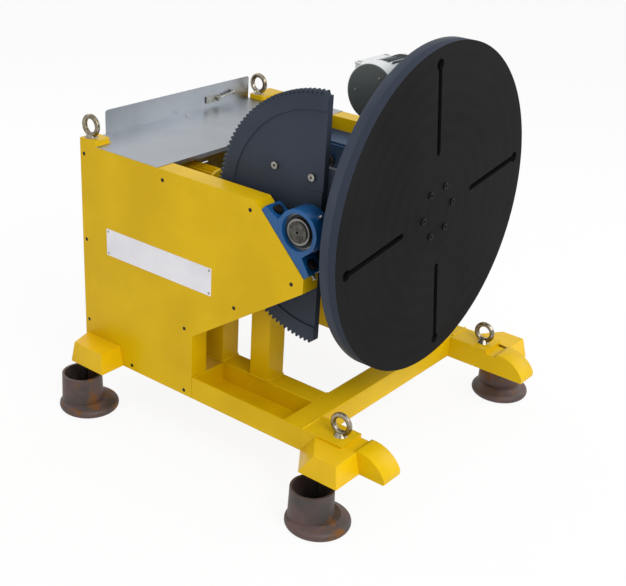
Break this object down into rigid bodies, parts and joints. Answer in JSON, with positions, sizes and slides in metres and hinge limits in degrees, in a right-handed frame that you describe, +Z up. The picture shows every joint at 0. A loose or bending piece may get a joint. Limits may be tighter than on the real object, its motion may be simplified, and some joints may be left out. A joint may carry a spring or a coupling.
{
  "type": "welding positioner",
  "caption": "Free-standing welding positioner: a round slotted table that turns on a tilting cradle between two box side frames, with a sector gear drive and levelling feet.",
  "frame": {"origin": "on the floor under the middle of the outer box", "axes": "+X to the machine's right, -Y the front, where the upright table faces, +Z up"},
  "size_m": [1.516, 1.48, 1.585],
  "materials": {
    "yellow_paint": "gloss",
    "grey_blue_paint": "satin",
    "blue_paint": "gloss",
    "black_plate": "matt",
    "machined_steel": "machined",
    "zinc_steel": "zinc plated",
    "black_steel": "black oxide",
    "rusty_steel": "raw, browned",
    "stainless_sheet": "bright",
    "aluminium_cast": "cast",
    "white_plate": "satin",
    "black_plastic": "moulded",
    "seal_rubber": "moulded"
  },
  "bodies": {
    "frame": {"base_rails": "yellow_paint", "front_cross_beam": "yellow_paint", "rear_cross_beam": "yellow_paint", "side_trays": "yellow_paint", "front_noses": "yellow_paint", "foot_brackets": "yellow_paint", "bracket_bolts": "zinc_steel", "foot_hoods": "yellow_paint", "lock_nuts": "zinc_steel", "left_side_frame": "yellow_paint", "right_side_frame": "yellow_paint", "side_panels": "yellow_paint", "panel_screws": "black_steel", "name_plate": "white_plate", "name_plate_rivets": "zinc_steel", "bearing_seats": "yellow_paint", "bearing_housings": "blue_paint", "housing_bolts": "black_steel", "grease_nipples": "zinc_steel", "bearing_outer_rings": "machined_steel", "bearing_balls": "machined_steel", "bearing_seals": "seal_rubber", "lifting_tabs": "yellow_paint", "eye_bolts": "zinc_steel", "top_tie": "yellow_paint", "top_cover": "stainless_sheet", "rear_cover": "yellow_paint", "cover_screws": "zinc_steel", "latch_base": "zinc_steel", "drive_stand": "yellow_paint", "tilt_gearbox": "grey_blue_paint", "tilt_motor": "grey_blue_paint", "pinion_bearing": "machined_steel", "control_box": "grey_blue_paint", "cable_gland": "black_plastic"},
    "tilting_cradle": {"cradle": "grey_blue_paint", "sector_gear": "grey_blue_paint", "sector_bolts": "zinc_steel", "tilt_shafts": "machined_steel", "bearing_inner_rings": "machined_steel", "slew_ring_inner": "machined_steel", "rotation_gearbox": "grey_blue_paint", "rotation_motor": "grey_blue_paint", "terminal_box": "grey_blue_paint"},
    "table": {"slew_ring_gear": "machined_steel", "table_plate": "black_plate", "table_rim": "grey_blue_paint", "table_bolts": "black_steel", "table_hub": "machined_steel"},
    "tilt_pinion": {"tilt_pinion_shaft": "machined_steel"},
    "rotation_pinion": {"rotation_pinion": "machined_steel"},
    "latch": {"latch_lever": "zinc_steel"},
    "front_left_foot": {"front_left_foot_pad": "rusty_steel", "front_left_foot_stud": "zinc_steel"},
    "front_right_foot": {"front_right_foot_pad": "rusty_steel", "front_right_foot_stud": "zinc_steel"},
    "rear_left_foot": {"rear_left_foot_pad": "rusty_steel", "rear_left_foot_stud": "zinc_steel"},
    "rear_right_foot": {"rear_right_foot_pad": "rusty_steel", "rear_right_foot_stud": "zinc_steel"}
  },
  "joints": [
    {"name": "table_tilt", "type": "hinge", "parent": "frame", "child": "tilting_cradle", "pos_m": [0, -0.325, 1], "axis": [1, 0, 0], "range_deg": [-90, 30]},
    {"name": "table_rotation", "type": "hinge", "parent": "tilting_cradle", "child": "table", "pos_m": [0, -0.521, 0.985], "axis": [0, -1, 0], "continuous": true},
    {"name": "tilt_pinion_turn", "type": "hinge", "parent": "frame", "child": "tilt_pinion", "pos_m": [-0.425, 0.14015, 0.8307], "axis": [1, 0, 0], "range_deg": [-270, 790]},
    {"name": "rotation_pinion_turn", "type": "hinge", "parent": "tilting_cradle", "child": "rotation_pinion", "pos_m": [0.11, -0.465, 1.29613], "axis": [0, -1, 0], "continuous": true},
    {"name": "latch_turn", "type": "hinge", "parent": "frame", "child": "latch", "pos_m": [0.213, 0.7257, 1.1], "axis": [0, -1, 0], "range_deg": [0, 90]},
    {"name": "front_left_foot_travel", "type": "slide", "parent": "frame", "child": "front_left_foot", "axis": [0, 0, -1], "range_m": [0, 0.03]},
    {"name": "front_right_foot_travel", "type": "slide", "parent": "frame", "child": "front_right_foot", "axis": [0, 0, -1], "range_m": [0, 0.03]},
    {"name": "rear_left_foot_travel", "type": "slide", "parent": "frame", "child": "rear_left_foot", "axis": [0, 0, -1], "range_m": [0, 0.03]},
    {"name": "rear_right_foot_travel", "type": "slide", "parent": "frame", "child": "rear_right_foot", "axis": [0, 0, -1], "range_m": [0, 0.03]}
  ],
  "couplings": [
    {"joint": "tilt_pinion_turn", "follows": "table_tilt", "ratio": -8.7059},
    {"joint": "rotation_pinion_turn", "follows": "table_rotation", "ratio": -5.1111}
  ]
}
